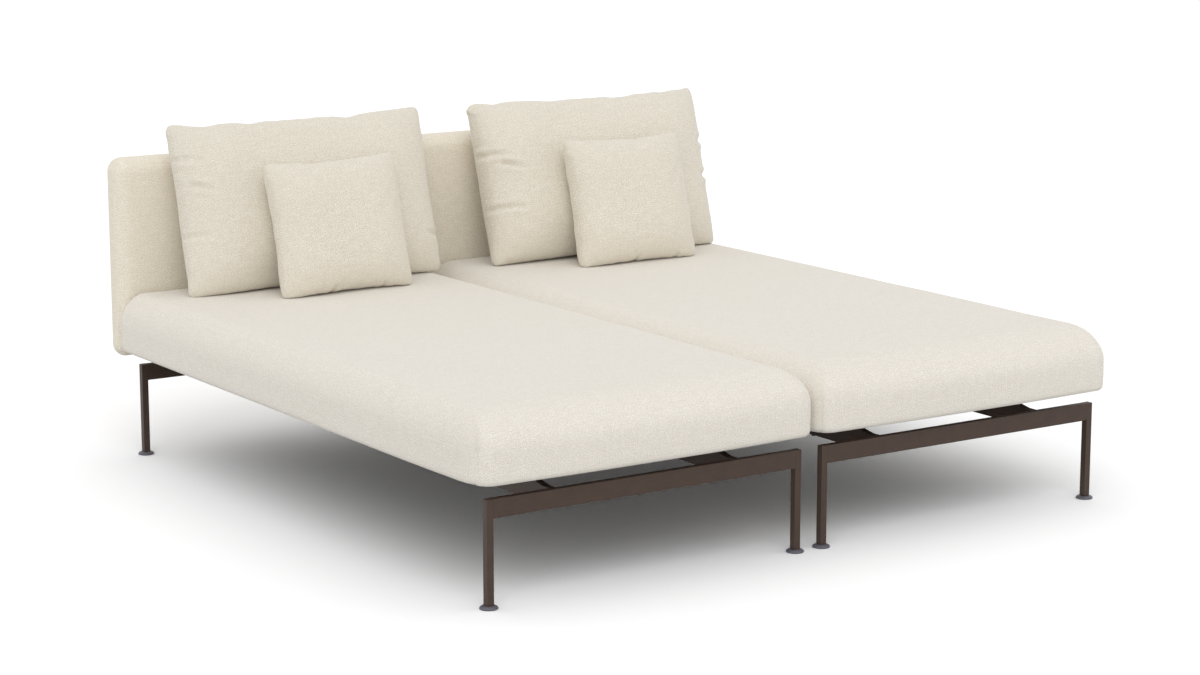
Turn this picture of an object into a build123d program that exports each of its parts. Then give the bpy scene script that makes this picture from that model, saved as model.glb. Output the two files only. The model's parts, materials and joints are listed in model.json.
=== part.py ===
from build123d import *
import math
import os

# Double chaise lounger: two identical steel frames side by side, an upholstered seat block
# bolted on each, one long upholstered backrest across both, and four loose pillows.
# Frame: X across the lounger, +Y from the foot end to the backrest, Z up from the floor.
# The origin is on the floor under the middle of the overall length and width.
# All lengths are in millimetres and all angles in degrees.

# Driving dimensions of the whole lounger
chaise_pitch = 850.0  # from the middle of one chaise to the middle of the other
frame_gap = 56.0  # between the legs of the two chaises
frame_length = 1640.0  # front face of the front legs to rear face of the rear legs
frame_height = 228.0  # floor to the top of the beams
seat_front_overhang = 24.0  # seat block in front of the front legs, without its bulge
seat_bulge = 14.0  # how far the free sides of a seat block swell
back_reach = 87.0  # rear face of the backrest behind the rear legs
back_thickness = 75.0
back_lift = 15.0  # gap between the beams and the underside of the backrest
back_height = 494.0
seat_lift = 31.0  # gap between the beams and the underside of the seat block
seat_height = 147.0  # thickness of the seat block at its crown
cut_overrun = 2.0  # how far a cutter passes the face that it cuts
soft_gap = 0.3  # clearance left where two soft pieces touch

# Frame tubes
tube_side = 16.0
beam_height = 40.0
tube_wall = 1.5
tube_edge = 0.6  # rounding of the tubes' long edges
rail_offset = 231.0  # middle of a rail from the middle of its chaise

# Levelling feet
pad_radius = 19.5
pad_height = 7.0
pad_foot_chamfer = 1.0
pad_rim_height = 3.2  # top of the upright part of the rim
pad_land_radius = 12.5  # flat on which the leg stands
pad_dome = 0.8  # how far the top's slope bulges from a straight cone
pad_floor_skin = 1.2  # material under the stud's flange
stud_radius = 4.0
stud_reach = 27.0  # stud above the pad
stud_flange_radius = 6.5
stud_flange_height = 2.0
stud_bevel = 0.8
key_hole_radius = 3.0  # hole under the pad, through which a hexagon key turns the stud
key_socket_radius = 2.3  # over the corners of the hexagon
key_socket_depth = 4.0
running_gap = 0.05  # radial and end clearance where pieces turn or slide
insert_height = 24.0
insert_fit = 0.05  # clearance between the insert and the inside of the leg

# Seat block
seat_bottom_radius = 12.0
seat_edge_run = 74.0  # top edge rounding, measured inwards
seat_edge_drop = 76.0  # top edge rounding, measured downwards
seat_crown_run = 150.0
seat_crown_rise = 3.0
seat_front_corner = 36.0
seat_back_corner = 20.0
seat_corner_least = 10.0
seat_back_edge_share = 0.5  # top edge rounding at the back against that at the front
seat_bottom_steps = 3
seat_edge_steps = 7
cover_thickness = 2.5
seat_board_thickness = 15.0
seat_board_inset = 25.0  # board edge from the inside of the cover
underside_margin = 60.0  # width of cover turned under the board
underside_gap = 0.5  # slit between the turned cover and the dust cloth

# Seat fixings, one bolt through rail, spacer and board at each place
bolt_radius = 3.0
bolt_head_radius = 5.8  # over the corners of the hexagon
bolt_head_height = 3.5
bolt_tip = 3.0  # bolt above the tee nut
bolt_clearance = 0.3
spacer_radius = 11.0
tee_flange_radius = 9.0
tee_flange_height = 1.5
tee_barrel_radius = 4.2
tee_barrel_length = 9.0
riser_setback = 23.0  # from the front beam to the foot of a riser's slope
riser_run = 178.0  # level length of the slope
riser_land = 8.0  # level end of a riser, on which the seat block lies
first_bolt_setback = 240.0  # first bolt from the front of the frame
last_bolt_setback = 230.0  # last bolt from the back of the frame
bolts_per_rail = 4

# Straps under the seat blocks that hold the two chaises together
strap_length = 220.0
strap_width = 36.0
strap_thickness = 4.0
strap_setback = 480.0  # from the front and from the back of the frame
strap_screw_setbacks = (50.0, 15.0)  # from the ends of the strap
screw_radius = 2.5
screw_stop = 2.0  # board left above the screw's tip
screw_head_radius = 4.6
screw_head_height = 2.6

# Backrest
back_edge_steps = 5
back_edge_flat = 5.0  # flat left between the two rounded edges of a side
back_corner_flat = 1.0  # flat left between the two rounded corners of an end
back_board_thickness = 15.0
back_board_inset = 45.0  # board edge from the edge of the backrest
bracket_width = 40.0
bracket_thickness = 6.0
bracket_bend = 6.0  # inner radius of the bend
bracket_on_rail = 130.0  # bracket in front of the rear beam
bracket_rise = 310.0  # upright part above the beams
bracket_slot_gap = 1.0
bracket_rail_screws = (25.0, 85.0)  # from the bracket's front end
bracket_screw_margin = 45.0  # first and last screw from the board's lower edge and the bracket's top
bracket_board_screws = 3
bracket_screw_radius = 3.0
bracket_screw_length = 11.0
bracket_screw_head_radius = 5.2
bracket_screw_head_height = 3.0

# Pillows
pillow_cover_thickness = 1.6
pillow_corner_cut = 22.0  # length of the rounded corner along each side
big_pillow_margin = 140.0  # how much narrower than a chaise
big_pillow_height = 422.0
big_pillow_drawn_in = 11.0  # how far the middle of a side lies inside its corners
big_pillow_crown = 87.0  # height of the level middle of the crown
small_pillow_width = 362.0
small_pillow_height = 330.0
small_pillow_drawn_in = 8.0
small_pillow_crown = 74.0
pillow_level_shares = (-1.0, -0.96, -0.87, -0.72, -0.5, -0.26, 0.0, 0.26, 0.5, 0.72, 0.87, 0.96, 1.0)
pillow_dome_power = 2.2
# for each chaise: distance of the pillow from the middle of its chaise, its thickness,
# its lean from upright and its turn in its own plane
big_pillows = {
    "left": {"offset": 36.0, "thickness": 150.0, "lean": 14.0, "turn": -0.3},
    "right": {"offset": 36.0, "thickness": 172.0, "lean": 16.5, "turn": 0.4},
}
small_pillows = {
    "left": {"offset": 45.0, "thickness": 120.0, "lean": 14.5, "turn": -0.7},
    "right": {"offset": 46.0, "thickness": 120.0, "lean": 14.5, "turn": 0.2},
}
settle_steps = 8  # moves that bring a small pillow back against the big one

# Places that follow from the driving dimensions
sides = {"left": -1, "right": 1}
frame_width = chaise_pitch - frame_gap
overall_length = seat_front_overhang + seat_bulge + frame_length + back_reach
frame_front = -overall_length / 2 + seat_front_overhang + seat_bulge
frame_back = frame_front + frame_length
back_back = frame_back + back_reach
back_front = back_back - back_thickness
back_bottom = frame_height + back_lift
back_top = back_bottom + back_height
back_edge_radius = (back_thickness - back_edge_flat) / 2
back_cover_corner = (back_thickness - back_corner_flat) / 2
seat_bottom = frame_height + seat_lift
seat_top = seat_bottom + seat_height
rail_bottom = frame_height - beam_height
half_width = chaise_pitch + seat_bulge
board_bottom = seat_bottom + cover_thickness
board_top = board_bottom + seat_board_thickness
back_middle = (back_front + back_back) / 2
bracket_face = back_middle - back_board_thickness / 2
screw_length = seat_board_thickness - screw_stop
big_pillow_width = chaise_pitch - big_pillow_margin

os.makedirs("parts", exist_ok=True)


def save(name, shape):
    """Write one node; several separate solids go in as one compound."""
    solids = shape if isinstance(shape, list) else [shape]
    solids = [s for item in solids for s in item.solids()]
    export_step(solids[0] if len(solids) == 1 else Compound(children=solids), f"parts/{name}.step")


def block(x_from, x_to, y_from, y_to, z_from, z_to):
    """A box between two opposite corners."""
    size = (x_to - x_from, y_to - y_from, z_to - z_from)
    middle = ((x_from + x_to) / 2, (y_from + y_to) / 2, (z_from + z_to) / 2)
    return Pos(*middle) * Box(*size)


def upright(radius, x, y, z_from, z_to):
    """A round bar standing at x, y."""
    return Pos(x, y, z_from) * extrude(Circle(radius), z_to - z_from)


def tube(plane, width, height, length):
    """A rectangular tube along the plane's normal, open at both ends."""
    outside = extrude(plane * RectangleRounded(width, height, tube_edge), length)
    bore = extrude(plane * Rectangle(width - 2 * tube_wall, height - 2 * tube_wall), length)
    return outside - bore


def chaise_middle(side):
    return sides[side] * chaise_pitch / 2


def rail_x(side, place):
    """place is 1 for the rail further from the middle of the lounger, -1 for the other."""
    return chaise_middle(side) + sides[side] * place * rail_offset


def leg_x(side, place):
    return chaise_middle(side) + sides[side] * place * (frame_width - tube_side) / 2


def bolt_rows():
    """Y of the bolts along a rail."""
    first = frame_front + first_bolt_setback
    last = frame_back - last_bolt_setback
    step = (last - first) / (bolts_per_rail - 1)
    return [first + step * k for k in range(bolts_per_rail)]


def strap_rows():
    return [frame_front + strap_setback, frame_back - strap_setback]


def strap_screw_spots(side):
    reach = strap_length / 2
    return [(sides[side] * (reach - setback), y) for setback in strap_screw_setbacks for y in strap_rows()]


def seat_bolt_spots(side):
    return [(rail_x(side, place), y) for place in (1, -1) for y in bolt_rows()]


# Frame: two legs and a beam make each end, and two rails join the ends
def make_beam(side, y):
    length = frame_width - 2 * tube_side
    start = (chaise_middle(side) - length / 2, y, frame_height - beam_height / 2)
    return tube(Plane(start, x_dir=(0, 1, 0), z_dir=(1, 0, 0)), tube_side, beam_height, length)


def make_rail(side, place):
    start = (rail_x(side, place), frame_front + tube_side, frame_height - beam_height / 2)
    plane = Plane(start, x_dir=(1, 0, 0), z_dir=(0, 1, 0))
    rail = tube(plane, tube_side, beam_height, frame_length - 2 * tube_side)
    hole = bolt_radius + bolt_clearance
    for y in bolt_rows():
        rail -= upright(hole, start[0], y, rail_bottom - cut_overrun, frame_height + cut_overrun)
    for y in bracket_rail_rows():
        rail -= upright(bracket_screw_radius, start[0], y, frame_height - beam_height / 2,
                        frame_height + cut_overrun)
    return rail


def make_leg(x, y):
    """A square tube, closed at the top and open at the bottom."""
    height = frame_height - pad_height
    leg = Pos(x, y, pad_height) * extrude(RectangleRounded(tube_side, tube_side, tube_edge), height)
    bore = Rectangle(tube_side - 2 * tube_wall, tube_side - 2 * tube_wall)
    return leg - Pos(x, y, pad_height) * extrude(bore, height - tube_wall)


def make_insert(x, y):
    """The threaded plug in the bottom of a leg."""
    side = tube_side - 2 * tube_wall - 2 * insert_fit
    plug = Pos(x, y, pad_height) * extrude(Rectangle(side, side), insert_height)
    bore = upright(stud_radius + running_gap, x, y, pad_height - cut_overrun,
                   pad_height + insert_height + cut_overrun)
    return plug - bore


def make_pad(x, y):
    """A round glide with a domed top, turned about its axis, holding the stud's flange."""
    neck = stud_radius + running_gap
    pocket = stud_flange_radius + running_gap
    pocket_top = pad_floor_skin + stud_flange_height + 2 * running_gap
    run, rise = pad_radius - pad_land_radius, pad_height - pad_rim_height
    slope = math.hypot(run, rise)
    bulge = (pad_radius - run / 2 + pad_dome * rise / slope, pad_height - rise / 2 + pad_dome * run / slope)
    outline = [
        Line((key_hole_radius, 0), (pad_radius - pad_foot_chamfer, 0)),
        Line((pad_radius - pad_foot_chamfer, 0), (pad_radius, pad_foot_chamfer)),
        Line((pad_radius, pad_foot_chamfer), (pad_radius, pad_rim_height)),
        ThreePointArc((pad_radius, pad_rim_height), bulge, (pad_land_radius, pad_height)),
        Line((pad_land_radius, pad_height), (neck, pad_height)),
        Line((neck, pad_height), (neck, pocket_top)),
        Line((neck, pocket_top), (pocket, pocket_top)),
        Line((pocket, pocket_top), (pocket, pad_floor_skin)),
        Line((pocket, pad_floor_skin), (key_hole_radius, pad_floor_skin)),
        Line((key_hole_radius, pad_floor_skin), (key_hole_radius, 0)),
    ]
    section = Plane.XZ * make_face(Wire(outline))
    return Pos(x, y, 0) * revolve(section, Axis.Z)


def make_stud(x, y):
    """The threaded stud: its flange turns in the pad, and a key fits the socket in its foot."""
    foot = pad_floor_skin + running_gap
    top = pad_height + stud_reach
    stud = upright(stud_radius, x, y, foot, top)
    stud = chamfer(stud.edges().filter_by(GeomType.CIRCLE).sort_by(Axis.Z)[-1:], stud_bevel)
    stud += upright(stud_flange_radius, x, y, foot, foot + stud_flange_height)
    socket = Pos(x, y, foot - cut_overrun) * extrude(
        RegularPolygon(key_socket_radius, 6), cut_overrun + key_socket_depth)
    return stud - socket


# Soft forms: rounded outlines stacked and joined by straight bands
def rounded_outline(x_from, x_to, y_from, y_to, z, front_radius, back_radius):
    """A level rectangle with one radius at its front corners and one at its back corners."""
    edges = [
        Line((x_from + front_radius, y_from, z), (x_to - front_radius, y_from, z)),
        CenterArc((x_to - front_radius, y_from + front_radius, z), front_radius, 270, 90),
        Line((x_to, y_from + front_radius, z), (x_to, y_to - back_radius, z)),
        CenterArc((x_to - back_radius, y_to - back_radius, z), back_radius, 0, 90),
        Line((x_to - back_radius, y_to, z), (x_from + back_radius, y_to, z)),
        CenterArc((x_from + back_radius, y_to - back_radius, z), back_radius, 90, 90),
        Line((x_from, y_to - back_radius, z), (x_from, y_from + front_radius, z)),
        CenterArc((x_from + front_radius, y_from + front_radius, z), front_radius, 180, 90),
    ]
    return make_face(Wire(edges))


def seat_levels(skin):
    """(inset, height) pairs up the side of a seat block, skin inside its surface."""
    levels = []
    radius = seat_bottom_radius - skin
    for step in range(seat_bottom_steps + 1):
        angle = math.pi / 2 * step / seat_bottom_steps
        rise = radius * (1 - math.cos(angle))
        levels.append((skin + radius * (1 - math.sin(angle)), seat_bottom + skin + rise))
    run = seat_edge_run - skin
    drop = seat_edge_drop - skin
    edge_top = seat_top - seat_crown_rise - skin
    for step in range(seat_edge_steps + 1):
        angle = math.pi / 2 * step / seat_edge_steps
        levels.append((skin + run * (1 - math.cos(angle)), edge_top - drop * (1 - math.sin(angle))))
    levels.append((seat_edge_run + seat_crown_run, seat_top - skin))
    return levels


def seat_form(side, skin):
    """The seat block's outer form, or with a skin the form inside its cover."""
    inner = soft_gap / 2
    outer = half_width
    front = frame_front - seat_front_overhang - seat_bulge
    back = back_front - soft_gap
    sections = []
    for inset, z in seat_levels(skin):
        back_inset = skin + (inset - skin) * seat_back_edge_share
        x_near, x_far = sides[side] * (inner + inset), sides[side] * (outer - inset)
        front_radius = max(seat_front_corner - inset, seat_corner_least)
        back_radius = max(seat_back_corner - back_inset, seat_corner_least)
        sections.append(rounded_outline(min(x_near, x_far), max(x_near, x_far), front + inset,
                                        back - back_inset, z, front_radius, back_radius))
    return loft(sections, ruled=True)


def seat_board_blank(side, z_from):
    """The board in a seat block before its holes, started at a chosen height."""
    margin = cover_thickness + seat_board_inset
    near = sides[side] * (soft_gap / 2 + margin)
    far = sides[side] * (half_width - margin)
    front = frame_front - seat_front_overhang - seat_bulge + margin
    outline = rounded_outline(min(near, far), max(near, far), front, back_front - soft_gap - margin, z_from,
                              max(seat_front_corner - margin, seat_corner_least),
                              max(seat_back_corner - margin, seat_corner_least))
    return extrude(outline, board_top - z_from, dir=(0, 0, 1))


def underside_edges(side, gap):
    """X from and to, Y from and to of the opening in the cover under the board."""
    near = sides[side] * (soft_gap / 2 + underside_margin + gap)
    far = sides[side] * (half_width - underside_margin - gap)
    front = frame_front - seat_front_overhang - seat_bulge + underside_margin + gap
    return min(near, far), max(near, far), front, back_front - soft_gap - underside_margin - gap


def make_seat_cover(side):
    opening = block(*underside_edges(side, 0), seat_bottom - cut_overrun, board_bottom + cut_overrun)
    cover = seat_form(side, 0) - seat_form(side, cover_thickness)
    strap = strap_cutter(strap_screw_spots(side), seat_bottom - cut_overrun, board_bottom + cut_overrun)
    return cover - opening - strap


def strap_cutter(spots, z_from, z_to):
    return [upright(screw_radius, x, y, z_from, z_to) for x, y in spots]


def make_seat_board(side):
    board = seat_board_blank(side, board_bottom)
    for x, y in seat_bolt_spots(side):
        board -= upright(tee_barrel_radius, x, y, board_bottom - cut_overrun, board_top + cut_overrun)
    return board - strap_cutter(strap_screw_spots(side), board_bottom - cut_overrun,
                                board_bottom + screw_length)


def make_seat_foam(side):
    foam = seat_form(side, cover_thickness)
    foam -= seat_board_blank(side, board_bottom - cut_overrun)
    tip = board_top + tee_flange_height + bolt_tip
    for x, y in seat_bolt_spots(side):
        foam -= upright(tee_flange_radius, x, y, board_top - cut_overrun, board_top + tee_flange_height)
        foam -= upright(bolt_radius, x, y, board_top, tip)
    return foam


def make_dust_cloth(side):
    cloth = block(*underside_edges(side, underside_gap), seat_bottom, board_bottom)
    for x, y in seat_bolt_spots(side):
        cloth -= upright(bolt_radius + bolt_clearance, x, y, seat_bottom - cut_overrun,
                         board_bottom + cut_overrun)
    return cloth - strap_cutter(strap_screw_spots(side), seat_bottom - cut_overrun,
                                board_bottom + cut_overrun)


def make_spacer(x, y):
    hole = upright(bolt_radius + bolt_clearance, x, y, frame_height - cut_overrun,
                   seat_bottom + cut_overrun)
    return upright(spacer_radius, x, y, frame_height, seat_bottom) - hole


def make_riser(x):
    """A tapered block on a rail, whose top slopes up from behind the front beam to the seat block."""
    foot = frame_front + tube_side + riser_setback
    crest = foot + riser_run
    outline = [
        Line((foot, frame_height), (crest, seat_bottom)),
        Line((crest, seat_bottom), (crest + riser_land, seat_bottom)),
        Line((crest + riser_land, seat_bottom), (crest + riser_land, frame_height)),
        Line((crest + riser_land, frame_height), (foot, frame_height)),
    ]
    return extrude(Plane.YZ.offset(x - tube_side / 2) * make_face(Wire(outline)), tube_side)


def make_bolt(x, y):
    head = Pos(x, y, rail_bottom - bolt_head_height) * extrude(
        RegularPolygon(bolt_head_radius, 6), bolt_head_height)
    return head + upright(bolt_radius, x, y, rail_bottom, board_top + tee_flange_height + bolt_tip)


def make_tee_nut(x, y):
    nut = upright(tee_flange_radius, x, y, board_top, board_top + tee_flange_height)
    nut += upright(tee_barrel_radius, x, y, board_top - tee_barrel_length, board_top)
    return nut - upright(bolt_radius, x, y, board_bottom, board_top + tee_flange_height + cut_overrun)


def make_strap(y):
    half = strap_length / 2
    strap = block(-half, half, y - strap_width / 2, y + strap_width / 2,
                  seat_bottom - strap_thickness, seat_bottom)
    spots = [spot for side in sides for spot in strap_screw_spots(side) if spot[1] == y]
    return strap - strap_cutter(spots, seat_bottom - strap_thickness - cut_overrun,
                                seat_bottom + cut_overrun)


def make_strap_screw(x, y):
    under = seat_bottom - strap_thickness
    screw = upright(screw_head_radius, x, y, under - screw_head_height, under)
    return screw + upright(screw_radius, x, y, under, board_bottom + screw_length)


# Backrest
def back_form(skin):
    """A long slab with all its edges rounded, or the form inside its cover."""
    radius = back_edge_radius - skin
    bottom, top = back_bottom + skin, back_top - skin
    heights = []
    for step in range(back_edge_steps + 1):
        angle = math.pi / 2 * step / back_edge_steps
        heights.append((radius * (1 - math.sin(angle)), bottom + radius * (1 - math.cos(angle))))
    for step in range(back_edge_steps + 1):
        angle = math.pi / 2 * step / back_edge_steps
        heights.append((radius * (1 - math.cos(angle)), top - radius * (1 - math.sin(angle))))
    sections = []
    for inset, z in heights:
        reach = half_width - skin - inset
        depth = back_thickness / 2 - skin - inset
        corner = depth * (back_cover_corner - skin) / (back_thickness / 2 - skin)
        sections.append(rounded_outline(-reach, reach, back_middle - depth, back_middle + depth, z,
                                        corner, corner))
    return loft(sections, ruled=True)


def back_board_box():
    reach = half_width - back_board_inset
    return block(-reach, reach, bracket_face, bracket_face + back_board_thickness,
                 back_bottom + back_board_inset, back_top - back_board_inset)


def bracket_spots():
    return [rail_x(side, place) for side in sides for place in (1, -1)]


def bracket_rail_rows():
    start = frame_back - tube_side - bracket_on_rail
    return [start + setback for setback in bracket_rail_screws]


def bracket_screw_heights():
    """Z of the screws that hold the board to a bracket."""
    low = back_bottom + back_board_inset + bracket_screw_margin
    high = frame_height + bracket_rise - bracket_screw_margin
    step = (high - low) / (bracket_board_screws - 1)
    return [low + step * k for k in range(bracket_board_screws)]


def bracket_front():
    return bracket_face - bracket_thickness


def make_bracket(x):
    """A flat bar bent upwards: its foot lies on the rail, its upright is inside the backrest."""
    foot_start = frame_back - tube_side - bracket_on_rail
    low, high = frame_height, frame_height + bracket_thickness
    front, back = bracket_front(), bracket_face
    outer = bracket_bend + bracket_thickness
    turn = math.sqrt(1 / 2)
    inside = (front - bracket_bend, high + bracket_bend)
    outline = [
        Line((foot_start, low), (back - outer, low)),
        ThreePointArc((back - outer, low), (inside[0] + outer * turn, inside[1] - outer * turn),
                      (back, low + outer)),
        Line((back, low + outer), (back, low + bracket_rise)),
        Line((back, low + bracket_rise), (front, low + bracket_rise)),
        Line((front, low + bracket_rise), (front, high + bracket_bend)),
        ThreePointArc((front, high + bracket_bend),
                      (inside[0] + bracket_bend * turn, inside[1] - bracket_bend * turn),
                      (front - bracket_bend, high)),
        Line((front - bracket_bend, high), (foot_start, high)),
        Line((foot_start, high), (foot_start, low)),
    ]
    section = Plane.YZ.offset(x - bracket_width / 2) * make_face(Wire(outline))
    bracket = extrude(section, bracket_width)
    for y in bracket_rail_rows():
        bracket -= upright(bracket_screw_radius, x, y, low - cut_overrun, high + cut_overrun)
    for z in bracket_screw_heights():
        bracket -= level_bar(bracket_screw_radius, x, z, front - cut_overrun, back + cut_overrun)
    return bracket


def level_bar(radius, x, z, y_from, y_to):
    """A round bar lying along Y at x, z."""
    return extrude(Plane((x, y_from, z), x_dir=(1, 0, 0), z_dir=(0, 1, 0)) * Circle(radius), y_to - y_from)


def make_bracket_screws(x):
    screws = []
    for y in bracket_rail_rows():
        seat = frame_height + bracket_thickness
        screw = upright(bracket_screw_head_radius, x, y, seat, seat + bracket_screw_head_height)
        screws.append(screw + upright(bracket_screw_radius, x, y, seat - bracket_screw_length, seat))
    front = bracket_front()
    for z in bracket_screw_heights():
        screw = level_bar(bracket_screw_head_radius, x, z, front - bracket_screw_head_height, front)
        screws.append(screw + level_bar(bracket_screw_radius, x, z, front, front + bracket_screw_length))
    return screws


def bracket_pocket(x, gap):
    """Room for a bracket's upright and its screws."""
    half = bracket_width / 2 + gap
    pocket = block(x - half, x + half, bracket_front() - gap, bracket_face + gap,
                   frame_height, frame_height + bracket_rise + gap)
    for z in bracket_screw_heights():
        pocket += level_bar(bracket_screw_head_radius + gap, x, z,
                            bracket_front() - bracket_screw_head_height - gap, bracket_face)
    return pocket


def make_back_board():
    board = back_board_box()
    for x in bracket_spots():
        for z in bracket_screw_heights():
            board -= level_bar(bracket_screw_radius, x, z, bracket_face - cut_overrun,
                               bracket_front() + bracket_screw_length)
    return board


def make_back_foam():
    foam = back_form(cover_thickness) - back_board_box()
    for x in bracket_spots():
        foam -= bracket_pocket(x, 0)
    return foam


def make_back_cover():
    cover = back_form(0) - back_form(cover_thickness)
    half = bracket_width / 2 + bracket_slot_gap
    for x in bracket_spots():
        cover -= block(x - half, x + half, bracket_front() - bracket_slot_gap,
                       bracket_face + bracket_slot_gap, back_bottom - cut_overrun,
                       back_bottom + back_edge_radius)
    return cover


# Pillows, first flat about their seam: X along the width, Z up from the lower seam, Y through
def pillow_outline(width, height, drawn_in, inset, y):
    """A rectangle whose sides bow inwards and whose corners are rounded."""
    reach, low, high = width / 2 - inset, inset, height - inset
    cut = pillow_corner_cut * (1 - inset / (height / 2))
    bow = drawn_in * (1 - inset / (height / 2))
    tuck = cut * (1 - math.sqrt(1 / 2))
    middle = (low + high) / 2
    edges = []
    for turn_x, turn_z in ((1, -1), (1, 1), (-1, 1), (-1, -1)):
        corner_x, corner_z = turn_x * reach, high if turn_z > 0 else low
        along_x = (corner_x - turn_x * cut, y, corner_z)
        along_z = (corner_x, y, corner_z - turn_z * cut)
        tip = (corner_x - turn_x * tuck, y, corner_z - turn_z * tuck)
        if turn_x * turn_z < 0:
            edges.append(ThreePointArc(along_x, tip, along_z))
            edges.append(ThreePointArc(along_z, (corner_x - turn_x * bow, y, middle),
                                       (corner_x, y, (high if turn_z < 0 else low) + turn_z * cut)))
        else:
            edges.append(ThreePointArc(along_z, tip, along_x))
            edges.append(ThreePointArc(along_x, (0, y, corner_z - turn_z * bow),
                                       (-corner_x + turn_x * cut, y, corner_z)))
    return make_face(Wire(edges))


def pillow_form(width, height, thickness, drawn_in, crown, skin):
    """A pillow crowned on both faces, or with a skin its filling."""
    dome = (height - crown) / 2
    sections = []
    for share in pillow_level_shares:
        y = share * (thickness / 2 - skin)
        inset = skin + dome * (1 - math.sqrt(1 - abs(share) ** pillow_dome_power))
        sections.append(pillow_outline(width, height, drawn_in, inset, y))
    return loft(sections, ruled=True)


def lean_pillow(form, x, y, place):
    """Turn a flat pillow to its lean and turn, with its lower seam at x, y."""
    return Pos(x, y, seat_top) * Rot(-place["lean"], 0, 0) * Rot(0, place["turn"], 0) * form


def settle_big(shape):
    """The move that sets a big pillow down on the seat and back against the backrest."""
    box = shape.bounding_box()
    return Pos(0, back_front - soft_gap - box.max.Y, seat_top + soft_gap - box.min.Z)


def settle_small(shape, big):
    """The move that sets a small pillow down on the seat and back against the big one."""
    box = shape.bounding_box()
    down = seat_top + soft_gap - box.min.Z
    back = big.bounding_box().min.Y - box.max.Y
    for step in range(settle_steps):
        gap = (Pos(0, back, down) * shape).distance_to(big)
        back += gap - soft_gap
    return Pos(0, back, down)


def make_pillows(side):
    """Covers and fillings of the big and the small pillow of one chaise."""
    big, small = big_pillows[side], small_pillows[side]
    big_x = chaise_middle(side) + big["offset"]
    small_x = chaise_middle(side) + small["offset"]
    big_size = (big_pillow_width, big_pillow_height, big["thickness"], big_pillow_drawn_in, big_pillow_crown)
    small_size = (small_pillow_width, small_pillow_height, small["thickness"], small_pillow_drawn_in,
                  small_pillow_crown)
    skin = pillow_cover_thickness
    big_outer = lean_pillow(pillow_form(*big_size, 0), big_x, 0, big)
    big_move = settle_big(big_outer)
    big_filling = big_move * lean_pillow(pillow_form(*big_size, skin), big_x, 0, big)
    big_outer = big_move * big_outer
    small_outer = lean_pillow(pillow_form(*small_size, 0), small_x, 0, small)
    small_move = settle_small(small_outer, big_outer)
    small_filling = small_move * lean_pillow(pillow_form(*small_size, skin), small_x, 0, small)
    small_outer = small_move * small_outer
    save(f"{side}_big_pillow_cover", big_outer - big_filling)
    save(f"{side}_big_pillow_filling", big_filling)
    save(f"{side}_small_pillow_cover", small_outer - small_filling)
    save(f"{side}_small_pillow_filling", small_filling)


for side in sides:
    front_y, back_y = frame_front + tube_side / 2, frame_back - tube_side / 2
    save(f"{side}_front_beam", make_beam(side, front_y))
    save(f"{side}_rear_beam", make_beam(side, back_y))
    for place_name, place in (("outer", 1), ("inner", -1)):
        save(f"{side}_{place_name}_rail", make_rail(side, place))
        for end_name, y in (("front", front_y), ("rear", back_y)):
            x = leg_x(side, place)
            save(f"{side}_{end_name}_{place_name}_leg", make_leg(x, y))
            save(f"{side}_{end_name}_{place_name}_pad", make_pad(x, y))
            save(f"{side}_{end_name}_{place_name}_stud", make_stud(x, y))
    save(f"{side}_seat_cover", make_seat_cover(side))
    save(f"{side}_seat_board", make_seat_board(side))
    save(f"{side}_seat_foam", make_seat_foam(side))
    save(f"{side}_back_brackets", [make_bracket(rail_x(side, place)) for place in (1, -1)])
    make_pillows(side)

leg_spots = [(leg_x(side, place), y) for side in sides for place in (1, -1)
             for y in (frame_front + tube_side / 2, frame_back - tube_side / 2)]
bolt_spots = [spot for side in sides for spot in seat_bolt_spots(side)]
save("leg_inserts", [make_insert(x, y) for x, y in leg_spots])
save("seat_dust_cloths", [make_dust_cloth(side) for side in sides])
risers = [make_riser(rail_x(side, place)) for side in sides for place in (1, -1)]
save("seat_spacers", [make_spacer(x, y) for x, y in bolt_spots] + risers)
save("seat_bolts", [make_bolt(x, y) for x, y in bolt_spots])
save("seat_tee_nuts", [make_tee_nut(x, y) for x, y in bolt_spots])
save("link_straps", [make_strap(y) for y in strap_rows()])
save("link_strap_screws", [make_strap_screw(x, y) for side in sides for x, y in strap_screw_spots(side)])
save("back_cover", make_back_cover())
save("back_board", make_back_board())
save("back_foam", make_back_foam())
save("back_bracket_screws", [screw for x in bracket_spots() for screw in make_bracket_screws(x)])
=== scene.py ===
import json
import math

import bpy
from mathutils import Matrix, Vector, noise
from mathutils.bvhtree import BVHTree


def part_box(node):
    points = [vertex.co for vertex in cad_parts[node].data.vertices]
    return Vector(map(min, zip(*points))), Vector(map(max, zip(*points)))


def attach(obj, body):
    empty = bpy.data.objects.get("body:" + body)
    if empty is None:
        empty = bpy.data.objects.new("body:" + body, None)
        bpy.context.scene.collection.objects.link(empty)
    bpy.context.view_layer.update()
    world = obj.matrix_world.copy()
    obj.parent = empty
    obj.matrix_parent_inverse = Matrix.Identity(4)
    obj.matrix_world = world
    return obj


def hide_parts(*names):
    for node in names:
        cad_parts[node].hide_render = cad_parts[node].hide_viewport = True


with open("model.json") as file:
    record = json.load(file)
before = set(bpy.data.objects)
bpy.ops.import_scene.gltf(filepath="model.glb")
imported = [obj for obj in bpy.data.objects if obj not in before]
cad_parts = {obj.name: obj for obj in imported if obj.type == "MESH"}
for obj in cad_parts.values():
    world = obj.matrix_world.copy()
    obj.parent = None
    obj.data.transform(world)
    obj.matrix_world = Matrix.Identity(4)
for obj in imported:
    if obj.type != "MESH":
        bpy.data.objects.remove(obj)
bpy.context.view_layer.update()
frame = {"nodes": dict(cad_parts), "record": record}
nodes = frame["nodes"]
scene = bpy.context.scene
print("frame loaded,", len(nodes), "CAD nodes")


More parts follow.
